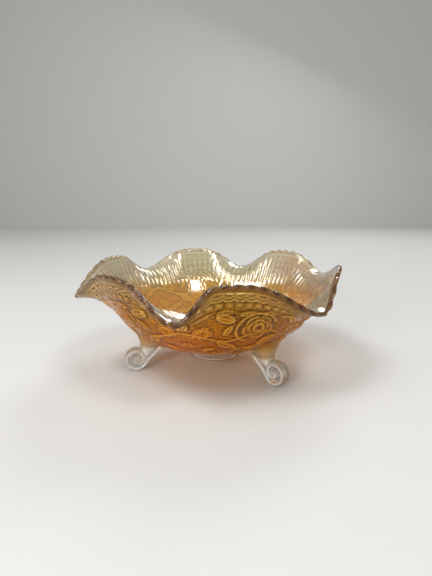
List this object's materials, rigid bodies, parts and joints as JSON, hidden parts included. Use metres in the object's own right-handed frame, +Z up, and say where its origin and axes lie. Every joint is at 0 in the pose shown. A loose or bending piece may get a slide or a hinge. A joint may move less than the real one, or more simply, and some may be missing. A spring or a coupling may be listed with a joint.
{
  "type": "footed glass bowl",
  "caption": "Round pressed glass bowl with a ruffled hand-crimped rim, an amber iridescent body, a clear base ring and clear scroll feet.",
  "frame": {"origin": "middle of the bowl's footprint on the table the feet stand on", "axes": "+Z up, -Y towards the front ruffle between the left and right feet, +X to the right"},
  "size_m": [0.2165, 0.2094, 0.0893],
  "materials": {
    "amber_glass": "fire-polished clear glass with a marigold iridescent coat over pressed relief",
    "champagne_glass": "ribbed clear glass with a thin pale gold iridescent coat, pink and green in reflections",
    "clear_glass": "fire-polished clear pressed glass without the coat"
  },
  "bodies": {
    "root": {"bowl_body": "amber_glass", "ruffled_rim": "champagne_glass", "base_ring": "clear_glass", "foot_left": "clear_glass", "foot_right": "clear_glass", "foot_rear": "clear_glass"}
  },
  "joints": []
}
